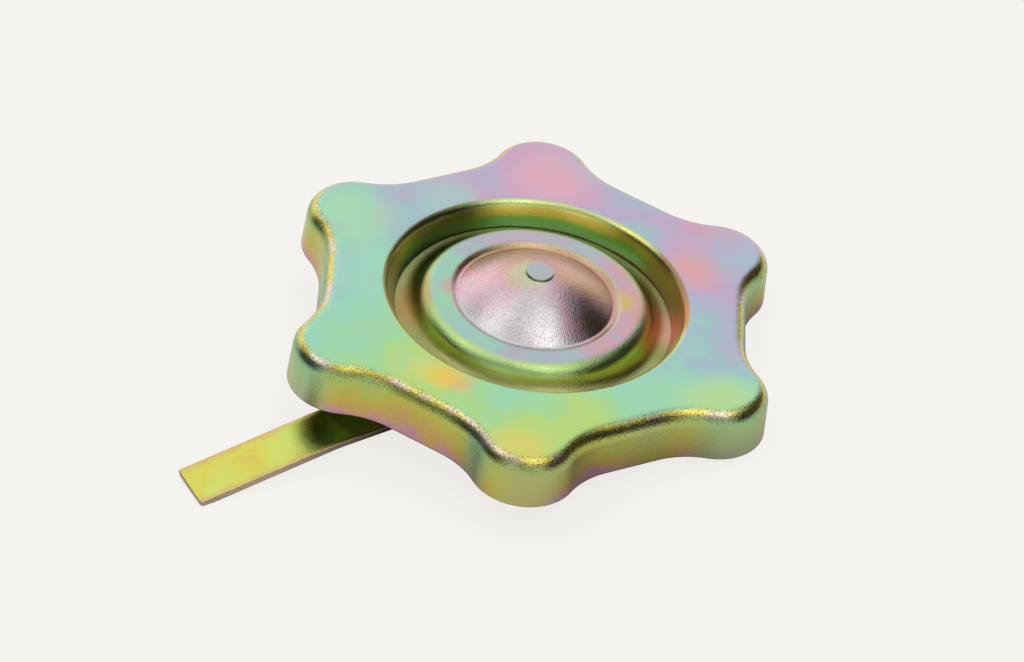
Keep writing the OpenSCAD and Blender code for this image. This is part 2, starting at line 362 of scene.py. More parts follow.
class Wire:
    """A number in a material's node tree, with Python's arithmetic."""

    def __init__(self, graph: "Graph", socket: bpy.types.NodeSocket) -> None:
        """Wrap an output socket."""
        self.graph = graph
        self.socket = socket

    def _maths(self, operation: str, *values: Any) -> "Wire":
        """A Math node on some values."""
        return self.graph.node(
            "ShaderNodeMath", {"operation": operation}, dict(enumerate(values)))[0]

    def __add__(self, other: Any) -> "Wire":
        """Sum."""
        return self._maths("ADD", self, other)

    __radd__ = __add__

    def __sub__(self, other: Any) -> "Wire":
        """Difference."""
        return self._maths("SUBTRACT", self, other)

    def __rsub__(self, other: Any) -> "Wire":
        """Difference, the other way round."""
        return self._maths("SUBTRACT", other, self)

    def __mul__(self, other: Any) -> "Wire":
        """Product."""
        return self._maths("MULTIPLY", self, other)

    __rmul__ = __mul__

    def most(self, other: Any) -> "Wire":
        """The larger of two."""
        return self._maths("MAXIMUM", self, other)

    def size(self) -> "Wire":
        """Value without its sign."""
        return self._maths("ABSOLUTE", self)

    def high(self, low: float, top: float) -> "Wire":
        """Smooth step from 0 at low to 1 at top."""
        return self.graph.node(
            "ShaderNodeMapRange", {"interpolation_type": "SMOOTHSTEP"},
            {"Value": self, "From Min": low, "From Max": top})[0]

    def within(self, edge: float, soft: float) -> "Wire":
        """Smooth step from 1 below an edge to 0 above it, soft to either side."""
        return self.high(edge + soft, edge - soft)


class Made:
    """A node that was added, whose outputs are read by number or name."""

    def __init__(self, graph: "Graph", node: bpy.types.Node) -> None:
        """Keep the node."""
        self.graph = graph
        self.node = node

    def __getitem__(self, key: int | str) -> Wire:
        """One of the node's outputs."""
        if isinstance(key, int):
            shown = [s for s in self.node.outputs if s.enabled]
            return Wire(self.graph, shown[key])
        return Wire(self.graph, self.node.outputs[key])


class Graph:
    """The node tree of one material or of the world."""

    def __init__(self, owner: bpy.types.Material | bpy.types.World) -> None:
        """Start the owner's tree empty."""
        self.owner = owner
        owner.use_nodes = True
        self.tree = owner.node_tree
        self.tree.nodes.clear()

    def node(self, kind: str, settings: Mapping[str, Any] | None = None,
             values: Mapping[int | str, Any] | None = None) -> Made:
        """Add a node.

        Args:
            kind: The node's type.
            settings: Its settings; "stops" holds a ramp's places and colours.
            values: Values or wires of its sockets, by number or name.

        Returns:
            The node that was made.
        """
        node = self.tree.nodes.new(kind)
        for key, value in (settings or {}).items():
            if key == "stops":
                ramp = node.color_ramp
                while len(ramp.elements) < len(value):
                    ramp.elements.new(1.0)
                for element, (place, colour) in zip(ramp.elements, value):
                    element.position = place
                    element.color = linear(colour)
            else:
                setattr(node, key, value)
        for key, value in (values or {}).items():
            shown = [s for s in node.inputs if s.enabled]
            socket = shown[key] if isinstance(key, int) else next(
                s for s in shown if s.name == key)
            if isinstance(value, Made):
                value = value[0]
            if isinstance(value, Wire):
                self.tree.links.new(value.socket, socket)
            else:
                socket.default_value = value
        return Made(self, node)

    def place(self) -> Wire:
        """Object coordinates."""
        return self.node("ShaderNodeTexCoord")["Object"]

    def vector(self, operation: str, *values: Any) -> Made:
        """A Vector Math node on some values."""
        return self.node(
            "ShaderNodeVectorMath", {"operation": operation}, dict(enumerate(values)))

    def along(self, at: Wire, course: Any) -> Wire:
        """How far a place or a direction lies along a course."""
        return self.vector("DOT_PRODUCT", at, course)["Value"]

    def axis(self, name: str, at: Wire) -> Wire:
        """One of the X, Y and Z parts of a place or a direction."""
        return self.node("ShaderNodeSeparateXYZ", None, {0: at})[name]

    def radius(self) -> Wire:
        """Distance from the Z axis, in mm."""
        level = self.vector("MULTIPLY", self.place(), (1, 1, 0))
        return self.vector("LENGTH", level)["Value"] * (1 / MM)

    def height(self) -> Wire:
        """Height above the origin, in mm."""
        return self.axis("Z", self.place()) * (1 / MM)

    def noise(self, size: float, detail: float = 2.0, roughness: float = 0.5,
              warp: float = 0.0) -> Made:
        """A noise texture in Object coordinates.

        Args:
            size: Size of its features, in mm.
            detail: Number of finer layers.
            roughness: Strength of the finer layers.
            warp: Distortion.

        Returns:
            The node; output 0 is the value and 1 the colour.
        """
        return self.node("ShaderNodeTexNoise", {"noise_dimensions": "3D"}, {
            "Vector": self.place(), "Scale": 1 / (size * MM), "Detail": detail,
            "Roughness": roughness, "Distortion": warp})

    def specks(self, size: float, low: float) -> Wire:
        """Fine specks of one size in mm, from 0 to 1, closer together where low is small."""
        return self.noise(size, 1.0)[0].high(low, 0.62)

    def patched(self, colour: Wire, patches: Sequence["Patch"]) -> Wire:
        """A colour with patches laid over it, in order."""
        for one in patches:
            colour = self.mix(one.share(self), colour, linear(one.tint))
        return colour

    def mix(self, share: Any, a: Any, b: Any) -> Wire:
        """A mix of two colours."""
        return self.node("ShaderNodeMix", {"data_type": "RGBA", "blend_type": "MIX"}, {
            "Factor": share, "A": a, "B": b})[0]

    def ramp(self, value: Wire, stops: Sequence[tuple[float, str]]) -> Wire:
        """Colours along a value."""
        return self.node("ShaderNodeValToRGB", {"stops": stops}, {"Fac": value})[0]

    def finish(self, shader: Made) -> Any:
        """Put a shader on the owner's surface; returns the owner."""
        kind = "World" if isinstance(self.owner, bpy.types.World) else "Material"
        out = self.tree.nodes.new("ShaderNodeOutput" + kind)
        self.tree.links.new(shader[0].socket, out.inputs["Surface"])
        return self.owner


def new_material(name: str) -> Graph:
    """The empty node tree of a new material."""
    return Graph(bpy.data.materials.new(name))


class Film(Enum):
    """Runs of colour that the passivated zinc shows; WALL and DOME also hold painted shade, painted
    highlight and painted reflection, as noted at each.
    """

    TOP = ((0.0, "bede82"), (0.12, "aadfa4"), (0.34, "a2dcc0"), (0.5, "a9c6ce"),
           (0.64, "bfb6d0"), (0.8, "d9a8c6"), (0.92, "e0a6a6"), (1.0, "dcb27c"))
    SIDE = ((0.0, "bc8ca4"), (0.07, "c49490"), (0.16, "c4a064"), (0.32, "bcb054"),
            (0.54, "b4b85a"), (0.76, "a4ba6c"), (0.92, "98b87c"), (1.0, "8cb490"))
    LEDGE = ((0.0, "b8dc90"), (0.16, "a2d8b4"), (0.34, "a6cbc6"), (0.5, "b6bcc4"),
             (0.66, "c8b0c0"), (0.8, "dca8a8"), (0.92, "dfae86"), (1.0, "dcc070"))
    # WALL's first stop, dark grey-brown at the foot of the handle's recess wall, is painted shade in the
    # crease where the wall meets the flange; its other stops are film colour.
    WALL = ((0.0, "80706a"), (0.08, "9cbc9c"), (0.22, "8cb888"), (0.36, "7cac64"),
            (0.47, "a0ac50"), (0.56, "ccb854"), (0.72, "e0c458"), (0.88, "dcdc7c"), (1.0, "c4dc98"))
    FLANK = ((0.0, "9ca46c"), (0.1, "98985c"), (0.3, "a0ac60"), (0.55, "b0cc7c"),
             (0.75, "a8cc80"), (0.92, "bcd48c"), (1.0, "b4d0b0"))
    # DOME runs from near-white to tan. On the dome the near-white side is partly a painted highlight and
    # the tan side is partly a painted darker reflection, laid over the film's own pink and tan.
    DOME = ((0.0, "dcdadc"), (0.2, "d4ccd0"), (0.42, "e0b6be"), (0.62, "d4a698"),
            (0.8, "c8a488"), (1.0, "c2a078"))
    EDGE = ((0.0, "94867c"), (0.5, "a89484"), (1.0, "b8a698"))
    STRIP = ((0.0, "b0e4a8"), (0.2, "c8e68c"), (0.45, "dae674"), (0.7, "e2da60"),
             (0.88, "e6c070"), (1.0, "e6b490"))


@dataclass(frozen=True)
class Patch:
    """A soft patch of another colour round an upright line, with an uneven border: mostly film colour, a
    few are painted dark reflection.

    Attributes:
        x: Place of the line, in mm.
        y: Place of the line, in mm.
        near: Radius within which the patch is full, in mm.
        far: Radius at which it ends, in mm.
        tint: Its colour.
        strength: Its share over what lies below.
        wander: How far its border wanders, in mm.
        waves: Size of the waves in its border, in mm.
    """

    x: float
    y: float
    near: float
    far: float
    tint: str
    strength: float = 0.7
    wander: float = 4.0
    waves: float = 6.0

    def share(self, g: Graph) -> Wire:
        """The patch's share over the sheet, from 0 to its strength."""
        moved = g.vector("MULTIPLY_ADD", g.noise(self.waves)["Color"],
                         (self.wander * MM, self.wander * MM, 0), g.place())
        half = self.wander / 2
        line = ((self.x + half) * MM, (self.y + half) * MM, 0)
        away = g.vector("DISTANCE", g.vector("MULTIPLY", moved, (1, 1, 0)), line)["Value"]
        return away.high(self.far * MM, self.near * MM) * self.strength


@dataclass(frozen=True)
class Wall:
    """Colours of a round wall by its height, inside a radius.

    Attributes:
        film: Colours from the foot to the top.
        low: Height of the foot, in mm.
        top: Height of the top, in mm.
        reach: Radius inside which the wall lies, in mm.
        sill: Radius inside which level faces keep their own colour, in mm.
        patches: Patches at set places.
        level: How far up a face looks, from where it starts to count as level to where it does.
    """

    film: Film
    low: float
    top: float
    reach: float
    sill: float = 30.0
    patches: tuple[Patch, ...] = ()
    level: Point = (0.9, 0.992)

    def over(self, g: Graph, flat: Wire, colour: Wire, drift: Wire, up: Wire) -> Wire:
        """The wall's colours over a colour.

        Args:
            g: The material's tree.
            flat: Colour of level faces.
            colour: Colour outside the radius.
            drift: Uneven shift along the run of colours.
            up: The face's direction along Z.

        Returns:
            The colour with the wall's in it.
        """
        share = (g.height() - self.low) * (1 / (self.top - self.low)) + drift
        wall = g.patched(g.ramp(share, self.film.value), self.patches)
        own = up.high(*self.level) * g.radius().within(self.sill, 0.25)
        wall = g.mix(own, wall, flat)
        return g.mix(g.radius().within(self.reach, 0.15), colour, wall)


@dataclass(frozen=True)
class Border:
    """Another film colour along both edges of a strip that runs along X.

    Attributes:
        middle: Place of the strip's middle along Y, in mm.
        near: Distance from the middle where the border starts, in mm.
        far: Distance from the middle where it is full, in mm.
        tint: Its colour.
        strength: Its share over what lies below.
        wander: How far small clouds move it in and out, in mm.
    """

    middle: float
    near: float
    far: float
    tint: str
    strength: float = 0.7
    wander: float = 1.5

    def over(self, g: Graph, colour: Wire, drift: Wire) -> Wire:
        """The border over a colour, moved in and out by a drift."""
        side = g.axis("Y", g.place()) * (1 / MM)
        share = ((side - self.middle).size() + drift).high(self.near, self.far)
        return g.mix(share * self.strength, colour, linear(self.tint))


@dataclass(frozen=True)
class Crown:
    """Colours of the dome inside a radius, which drift across it, with painted dark specks.

    Attributes:
        film: The run of colours.
        reach: Radius of the dome and its dish, in mm.
        slant: Drift across the dome, in parts of the run per metre.
        patches: Patches at set places.
        speck: Colour of the painted dark specks that stand for grain in the dome's reflections.
        speckle: Strength of those painted specks.
    """

    film: Film
    reach: float
    slant: Point3
    patches: tuple[Patch, ...] = ()
    speck: str = "6c5c54"
    speckle: float = 0.2

    def over(self, g: Graph, colour: Wire, drift: Wire) -> Wire:
        """The dome's colours over a colour, shifted along the run by a drift."""
        place = g.along(g.place(), self.slant) + drift + 0.5
        dome = g.patched(g.ramp(place, self.film.value), self.patches)
        # painted dark reflection: fine dark specks over the whole dome, for the grain that breaks up its
        # reflections
        dome = g.mix(g.specks(0.16, 0.5) * self.speckle, dome, linear(self.speck))
        return g.mix(g.radius().within(self.reach, 0.4), colour, dome)


@dataclass(frozen=True)
class Plating:
    """Bright zinc with a yellow passivation film, whose colour drifts over the sheet, and painted dark
    reflection in specks along its rolls.

    Attributes:
        name: Name of the material.
        flat: Colours of level faces.
        steep: Colours of faces that stand up.
        turn: Two colours where a level face rolls over, which take turns along the edge.
        foot: Height where the run of steep colours starts and the height it spans, in mm.
        patch: Size of the colour patches, in mm.
        start: Place on the run of colours about which the patches drift.
        swing: How far the patches drift.
        slant: Drift across the piece, in parts of the run per metre along X and Y.
        rough: Roughness.
        grain: Size of the fine grain, in mm.
        relief: Strength of the grain.
        depth: Depth of the grain, in mm.
        speck: Colour of the painted dark specks on a roll, which stand for its dark reflection band.
        speckle: Strength of those painted dark specks.
        patches: Patches at set places on level faces.
        sides: Patches at set places on faces that stand up.
        wall: Colours of a round wall by its height.
        crown: Colours of the dome.
        border: Colour along the edges of a strip.
    """

    name: str
    flat: Film
    steep: Film
    turn: tuple[str, str] = ("e8d868", "e8d4c0")
    foot: tuple[float, float] = (-1.5, 8.0)
    patch: float = 14.0
    start: float = 0.33
    swing: float = 1.0
    slant: Point3 = (0.0, 0.0, 0.0)
    rough: float = 0.2
    grain: float = 0.17
    relief: float = 0.8
    depth: float = 0.042
    speck: str = "4c4420"
    speckle: float = 0.62
    patches: tuple[Patch, ...] = ()
    sides: tuple[Patch, ...] = ()
    wall: Wall | None = None
    crown: Crown | None = None
    border: Border | None = None

    def material(self) -> bpy.types.Material:
        """The finished material."""
        g = new_material(self.name)
        wide = g.noise(self.patch, 1.5, 0.4, 0.5)[0] - 0.5
        fine = g.noise(self.patch / 3.4, 2.5, 0.5, 0.6)[0] - 0.5

        def clouds(shares: Point, swing: float = 1.0) -> Wire:
            """Uneven shift along a run of colours, from broad and small clouds."""
            return wide * (shares[0] * swing) + fine * (shares[1] * swing)

        up = g.axis("Z", g.node("ShaderNodeNewGeometry")["Normal"])
        film = clouds(LEVEL_CLOUDS, self.swing) + g.along(g.place(), self.slant)
        level = g.patched(g.ramp(film + self.start, self.flat.value), self.patches)
        if self.border:
            level = self.border.over(g, level, fine * self.border.wander)
        gold, pale = (linear(one) for one in self.turn)
        rolled = g.mix(g.noise(5.0, 1.0)[0].high(0.48, 0.62), gold, pale)
        low, span = self.foot
        rise = (g.height() - low) * (1 / span)
        upright = g.patched(g.ramp(clouds(STEEP_CLOUDS) + rise, self.steep.value), self.sides)
        colour = g.mix(up.high(*TO_ROLL), level, rolled)
        colour = g.mix(up.high(*TO_UPRIGHT), colour, upright)
        # painted dark reflection: dark specks on the slopes of every roll, for the dark band below its
        # highlight
        specks = g.specks(0.15, 0.52) * up.high(*PAINTED_DARK_FROM_LEVEL) * up.high(*PAINTED_DARK_FROM_UPRIGHT)
        colour = g.mix(specks * self.speckle, colour, linear(self.speck))
        if self.wall:
            colour = self.wall.over(g, level, colour, clouds(WALL_CLOUDS), up)
        if self.crown:
            colour = self.crown.over(g, colour, clouds(CROWN_CLOUDS))
        return g.finish(g.node("ShaderNodeBsdfPrincipled", None, {
            "Base Color": colour, "Metallic": 1.0, **self.surface(g, up)}))

    def surface(self, g: Graph, up: Wire) -> dict[str, Any]:
        """Roughness and bump of the sheet, which is rougher where it stands up.

        Args:
            g: The material's tree.
            up: The face's direction along Z.

        Returns:
            The values of the shader's sockets.
        """
        grain = g.noise(self.grain, 2.0, 0.6)[0]
        broad = g.noise(1.3)[0]
        worn = g.noise(4.0, 3.0, 0.6)[0]
        rough = (grain - 0.5) * 0.2 + (worn - 0.5) * 0.12 + up.high(0.5, 0.2) * 0.06 + self.rough
        bump = g.node("ShaderNodeBump", None, {
            "Strength": self.relief, "Distance": self.depth * MM, "Height": grain + broad * 0.25})
        return {"Roughness": rough, "Normal": bump}


@dataclass(frozen=True)
class Rubber:
    """Matt black seal rubber with moulding bloom and a little dust."""

    name: str = "seal_rubber_black"

    def material(self) -> bpy.types.Material:
        """The finished material."""
        g = new_material(self.name)
        bloom = g.noise(3.0, 4.0, 0.6)[0]
        grain = g.noise(0.25)[0]
        colour = g.ramp(bloom, ((0.3, "17171a"), (0.6, "202024"), (0.8, "33333a")))
        bump = g.node("ShaderNodeBump", None, {
            "Strength": 0.4, "Distance": 0.03 * MM, "Height": grain + bloom * 0.5})
        return g.finish(g.node("ShaderNodeBsdfPrincipled", None, {
            "Base Color": colour, "Roughness": bloom * 0.2 + 0.55, "Normal": bump}))


# pieces
@dataclass
class Part:
    """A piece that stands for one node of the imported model."""

    node: str
    slot: str
    finish: Plating | Rubber
    body: str = "cap"

    def model(self) -> bpy.types.Object:
        """The piece's mesh; each kind of piece has its own."""
        raise NotImplementedError

    def build(self) -> bpy.types.Object:
        """Model the piece, dress it and put it on its body."""
        piece = self.model()
        deselect_all()
        piece.data.materials.clear()
        piece.data.materials.append(self.finish.material())
        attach(piece, self.body)
        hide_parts(self.node)
        LOG.info("%s: %d faces", piece.name, len(piece.data.polygons))
        return piece


@dataclass
class Handle(Part):
    """The pressed handle: six lobes outside, a round recess inside, one sheet all through."""

    lobes: int = 6
    tip_r: float = 31.5
    flat_r: float = 25.389
    flat_half: float = 3.6
    nose_r: float = 6.1
    top: float = HANDLE_Z
    foot: float = -0.7
    flange: float = FLANGE_Z
    edge_r: float = 2.1
    flare: float = 0.35
    recess_r: float = 19.3
    lip_r: float = 1.2
    wall_foot_r: float = 16.6
    sheet: float = SHEET_T
    # degrees of a bend's steps, and rounding of the skirt's two cut edges and of the flange's
    fold: float = 7.5
    cut_edges: Point3 = (0.28, 0.22, 0.2)

    def stations(self) -> list[tuple[Point, Point]]:
        """Points of the six-lobed outline and the directions outward from them."""
        half = math.pi / self.lobes
        across, along = (math.cos(half), math.sin(half)), (math.sin(half), -math.cos(half))
        nose_x = self.tip_r - self.nose_r
        n_along = nose_x * along[0] - self.flat_half
        n_across = nose_x * across[0] - self.flat_r
        hollow_r = (n_along ** 2 + n_across ** 2 - self.nose_r ** 2) / (2 * (self.nose_r + n_across))
        hollow = tuple(self.flat_half * along[k] + (self.flat_r + hollow_r) * across[k]
                       for k in range(2))
        turn = math.atan2(hollow[1], hollow[0] - nose_x)
        nose_steps, hollow_steps, flat_steps = 56, 8, 5

        def arc(centre: Point, radius: float, first: float, last: float,
                steps: int) -> list[tuple[Point, Point]]:
            """Stations of an arc without its end; a negative radius makes it hollow."""
            rays = [turned((1.0, 0.0), first + (last - first) * j / steps) for j in range(steps)]
            return [((centre[0] + radius * r[0], centre[1] + radius * r[1]), r) for r in rays]

        one = arc((nose_x, 0.0), self.nose_r, -turn, turn, nose_steps)
        one += arc(hollow, -hollow_r, turn, half, hollow_steps)
        for j in range(flat_steps):
            share = 1 - 2 * j / flat_steps
            one.append((tuple(self.flat_r * across[k] + self.flat_half * share * along[k]
                              for k in range(2)), across))
        one += [(self._mirrored(p, half), self._mirrored(d, half))
                for p, d in arc(hollow, -hollow_r, half, turn, hollow_steps)]
        return [(turned(p, k * 2 * half), turned(d, k * 2 * half))
                for k in range(self.lobes) for p, d in one]

    @staticmethod
    def _mirrored(v: Point, angle: float) -> Point:
        """Vector v mirrored in the line at an angle through the axis."""
        c, s = math.cos(2 * angle), math.sin(2 * angle)
        return v[0] * c + v[1] * s, v[0] * s - v[1] * c

    def section(self) -> list[tuple[bool, Point]]:
        """The closed section: whether a point belongs to the six-lobed edge, and the point."""
        edge = SheetPath(((-self.tip_r, self.top), (0, self.top), (self.flare, self.foot)),
                         (0, self.edge_r, 0), step=self.fold)
        recess = SheetPath(((self.wall_foot_r, self.flange), (self.recess_r - self.lip_r, self.top),
                            (self.tip_r, self.top)), (0, self.lip_r, 0), step=self.fold)
        wall = recess.course(0)
        inner = recess.side(self.sheet)[1:-2]
        inner[0] = (self.wall_foot_r + self.sheet / wall[1], self.flange)
        outer = recess.side(0)[:-2]
        edge_in, edge_out = edge.side(self.sheet)[2:], edge.side(0)[2:]
        points = ([(False, p) for p in inner] + [(True, p) for p in edge_in]
                  + [(True, p) for p in reversed(edge_out)] + [(False, p) for p in reversed(outer)])
        turn = len(inner) + len(edge_in)
        ends = dict(zip((turn - 1, turn, len(points) - 1), self.cut_edges))
        kinds = [kind for i, (kind, _) in enumerate(points)
                 for _ in range(ROUNDING + 1 if i in ends else 1)]
        return list(zip(kinds, rounded_loop([p for _, p in points], ends)))

    def model(self) -> bpy.types.Object:
        """The handle, extruded ring by ring along its section."""
        stations = self.stations()
        rings = []
        for is_edge, (out, z) in self.section():
            ring = []
            for point, away in stations:
                if is_edge:
                    spot = (point[0] + out * away[0], point[1] + out * away[1])
                else:
                    ray = unit(point)
                    spot = (out * ray[0], out * ray[1])
                ring.append(Vector((spot[0] * MM, spot[1] * MM, z * MM)))
            rings.append(ring)
        return ring_of_loops("handle", rings)


@dataclass
class CentrePressing(Part):
    """The round pressing: dome, dish, raised ring, flange and the rim turned down round the seal."""

    sheet: float = SHEET_T
    hole_r: float = 1.65
    dome_z: float = 9.1
    dome_r: float = 9.5
    fullness: float = 1.8
    ring_z: float = RING_Z
    sink: float = 0.55
    dish_w: float = 0.85
    ring_r: float = 13.4
    ring_foot_r: float = 14.8
    flange: float = FLANGE_Z
    guard_r: float = 21.6
    guard_z: float = 0.4
    # radii at the dish, at the ring's inner and outer edges, at its foot and at the rim
    bends: tuple[float, ...] = (0.5, 1.25, 2.6, 2.25, 1.5)
    cut_edge: float = 0.25

    def crown(self) -> tuple[list[Point], list[float]]:
        """Corners of the dome's curve, which steepens outwards, and the radii that round them."""
        rise = self.dome_z - self.ring_z + self.sink
        count = 6
        points = [(self.dome_r * i / count, self.dome_z - rise * (i / count) ** self.fullness)
                  for i in range(count + 1)]
        radii = [0.0]
        for a, b, c in zip(points, points[1:], points[2:]):
            into, away = (b[0] - a[0], b[1] - a[1]), (c[0] - b[0], c[1] - b[1])
            bend = abs(math.atan2(away[1], away[0]) - math.atan2(into[1], into[0]))
            radii.append(0.45 * min(math.hypot(*into), math.hypot(*away)) / math.tan(bend / 2))
        return points[:-1], radii

    def path(self) -> SheetPath:
        """The pressing's upper side."""
        dome, radii = self.crown()
        return SheetPath(
            (*dome, (self.dome_r, self.ring_z - self.sink),
             (self.dome_r + self.dish_w, self.ring_z),
             (self.ring_r, self.ring_z), (self.ring_foot_r, self.flange),
             (self.guard_r, self.flange), (self.guard_r, self.guard_z)),
            (*radii, *self.bends, 0), step=4.0, support=0.2)

    def model(self) -> bpy.types.Object:
        """The pressing, spun round its axis."""
        top, under = (self.outside_hole(self.path().side(off)) for off in (0, self.sheet))
        loop = top + list(reversed(under))
        ends = {len(top) - 1: self.cut_edge, len(top): self.cut_edge}
        return spun_piece("centre_pressing_shell", rounded_loop(loop, ends), closed=True)

    def outside_hole(self, side: list[Point]) -> list[Point]:
        """One side of the sheet from the rivet's hole outwards."""
        kept = [p for p in side if p[0] > self.hole_r + 0.05]
        return [(self.hole_r, kept[0][1] + 0.06), *kept]


@dataclass
class Seal(Part):
    """The rubber ring inside the turned-down rim."""

    inner: float = 16.1
    outer: float = 20.7
    thick: float = 1.8
    chamfer: float = 0.6

    def model(self) -> bpy.types.Object:
        """The ring, spun from a rounded section."""
        margin = 2 * self.chamfer
        loop = [(self.inner, 0.0), (self.inner + margin, 0.0), (self.outer - margin, 0.0),
                (self.outer, 0.0), (self.outer, self.thick - self.chamfer),
                (self.outer - self.chamfer, self.thick), (self.inner, self.thick)]
        return spun_piece("seal", rounded_loop(loop, {0: 0.3, 3: 0.3, 4: 0.2, 5: 0.2, 6: 0.2}),
                          closed=True, steps=144)


@dataclass
class Rivet(Part):
    """The rivet through dome and cup, whose end shows as a small disc."""

    shank_r: float = 1.65
    end_z: float = 9.18
    head_r: float = 2.1
    head_z: float = 5.75
    shoulder_z: float = 6.9
    belly: float = 0.02
    disc_r: float = 0.8
    head_edge: float = 0.3
    end_edge: float = 0.09

    def model(self) -> bpy.types.Object:
        """The rivet, spun from its axis."""
        loop = [(0, self.head_z), (self.head_r * 0.6, self.head_z - self.belly),
                (self.head_r, self.head_z), (self.head_r, self.shoulder_z),
                (self.shank_r, self.shoulder_z + 0.1), (self.shank_r, self.end_z),
                (self.disc_r, self.end_z), (0, self.end_z)]
        rounded = rounded_loop(loop, {2: self.head_edge, 5: self.end_edge})
        return spun_piece("rivet", rounded, closed=False, steps=96)


@dataclass
class Pin(Part):
    """The hinge pin across the locking cup, formed over at both ends."""

    radius: float = 0.9
    height: float = 0.35
    half: float = 8.4
    head_r: float = 1.35
    head_t: float = 0.45
    outer_edge: float = 0.25
    inner_edge: float = 0.08

    def model(self) -> bpy.types.Object:
        """The pin, spun round the Y axis."""
        end, held = self.half + self.head_t, self.half - 0.3
        loop = [(0, -end), (self.head_r, -end), (self.head_r, -self.half), (self.radius, -self.half),
                (self.radius, -held), (self.radius, held),
                (self.radius, self.half), (self.head_r, self.half), (self.head_r, end), (0, end)]
        rounded = rounded_loop(loop, {1: self.outer_edge, 2: self.inner_edge,
                                      7: self.inner_edge, 8: self.outer_edge})
        return spun_piece("pin", rounded, closed=False, steps=72, axis=Vector((0, 1, 0)),
                          centre=Vector((0, 0, self.height * MM)))


@dataclass
class Cup(Part):
    """The locking cup with its two ears and two windows."""

    edge: float = 0.12

    def model(self) -> bpy.types.Object:
        """The cup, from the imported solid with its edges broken."""
        piece = merged_copy(self.node, "cup")
        break_edges(piece, self.edge, segments=2, smooth=35)
        return piece


@dataclass
class Dipstick(Part):
    """The measuring strip: a curled eye, a straight root, a bend and a tip."""

    width: float = 6.35
    thick: float = 0.8
    root: float = 28.9
    tip: float = 18.0
    bend: float = 5.6
    bend_r: float = 14.0
    slope: float = 7.8
    slide: float = 3.3
    pin_z: float = 0.35
    eye_r: float = 1.0
    curl: float = 290.0
    corner: float = 0.7
    edge: float = 0.13

    def centre_line(self) -> list[Point]:
        """Points of the strip's upper side, from its tip to the end of its curl, in mm."""
        slope, tip_slope = math.radians(self.slope), math.radians(self.slope + self.bend)
        leave = (self.eye_r * math.sin(slope), self.pin_z - self.eye_r * math.cos(slope))
        knee = (leave[0] - self.root * math.cos(slope), leave[1] - self.root * math.sin(slope))
        end = (knee[0] - self.tip * math.cos(tip_slope), knee[1] - self.tip * math.sin(tip_slope))
        line = SheetPath((end, knee, leave), (0, self.bend_r, 0), step=1.0).side(0)
        first = (math.sin(slope), -math.cos(slope))
        steps = 48
        for j in range(1, steps + 1):
            ray = turned(first, math.radians(self.curl) * j / steps)
            line.append((self.eye_r * ray[0], self.pin_z + self.eye_r * ray[1]))
        return line

    def model(self) -> bpy.types.Object:
        """The strip: one edge extruded along its line, thickened, with its cut edges broken."""
        line = [Vector((x * MM, 0, z * MM)) for x, z in self.centre_line()]
        columns = 8
        start = line[0] + Vector((0, (-self.slide - self.width / 2) * MM, 0))
        piece = start_vertex("dipstick_strip", start)
        for _ in range(columns):
            extrude_by(Vector((0, self.width / columns * MM, 0)))
        bpy.ops.mesh.select_all(action="SELECT")
        for a, b in zip(line, line[1:]):
            extrude_by(b - a)
        corners = self.round_tip(piece)
        bpy.ops.mesh.select_all(action="SELECT")
        bpy.ops.mesh.normals_make_consistent(inside=False)
        bpy.ops.object.mode_set(mode="OBJECT")
        past_eye = -10 * MM
        upward = sum(p.normal.z for p in piece.data.polygons if p.center.x < past_eye)
        apply_modifier(piece, "SOLIDIFY", thickness=self.thick * MM,
                       offset=-1.0 if upward > 0 else 1.0, use_even_offset=True)
        break_edges(piece, self.edge, segments=3, smooth=40)
        LOG.info("tip corners rounded: %d", corners)
        return piece

    def round_tip(self, piece: bpy.types.Object) -> int:
        """Round the two corners at the tip; returns how many were found."""
        bpy.ops.mesh.select_all(action="DESELECT")
        mesh = bmesh.from_edit_mesh(piece.data)
        tip = min(v.co.x for v in mesh.verts) + 0.01 * MM
        side = (self.width / 2 - 0.05) * MM
        corners = [v for v in mesh.verts
                   if v.co.x < tip and abs(v.co.y + self.slide * MM) > side]
        for v in corners:
            v.select = True
        bmesh.update_edit_mesh(piece.data)
        bpy.ops.mesh.bevel(offset=self.corner * MM, segments=5, affect="VERTICES")
        return len(corners)


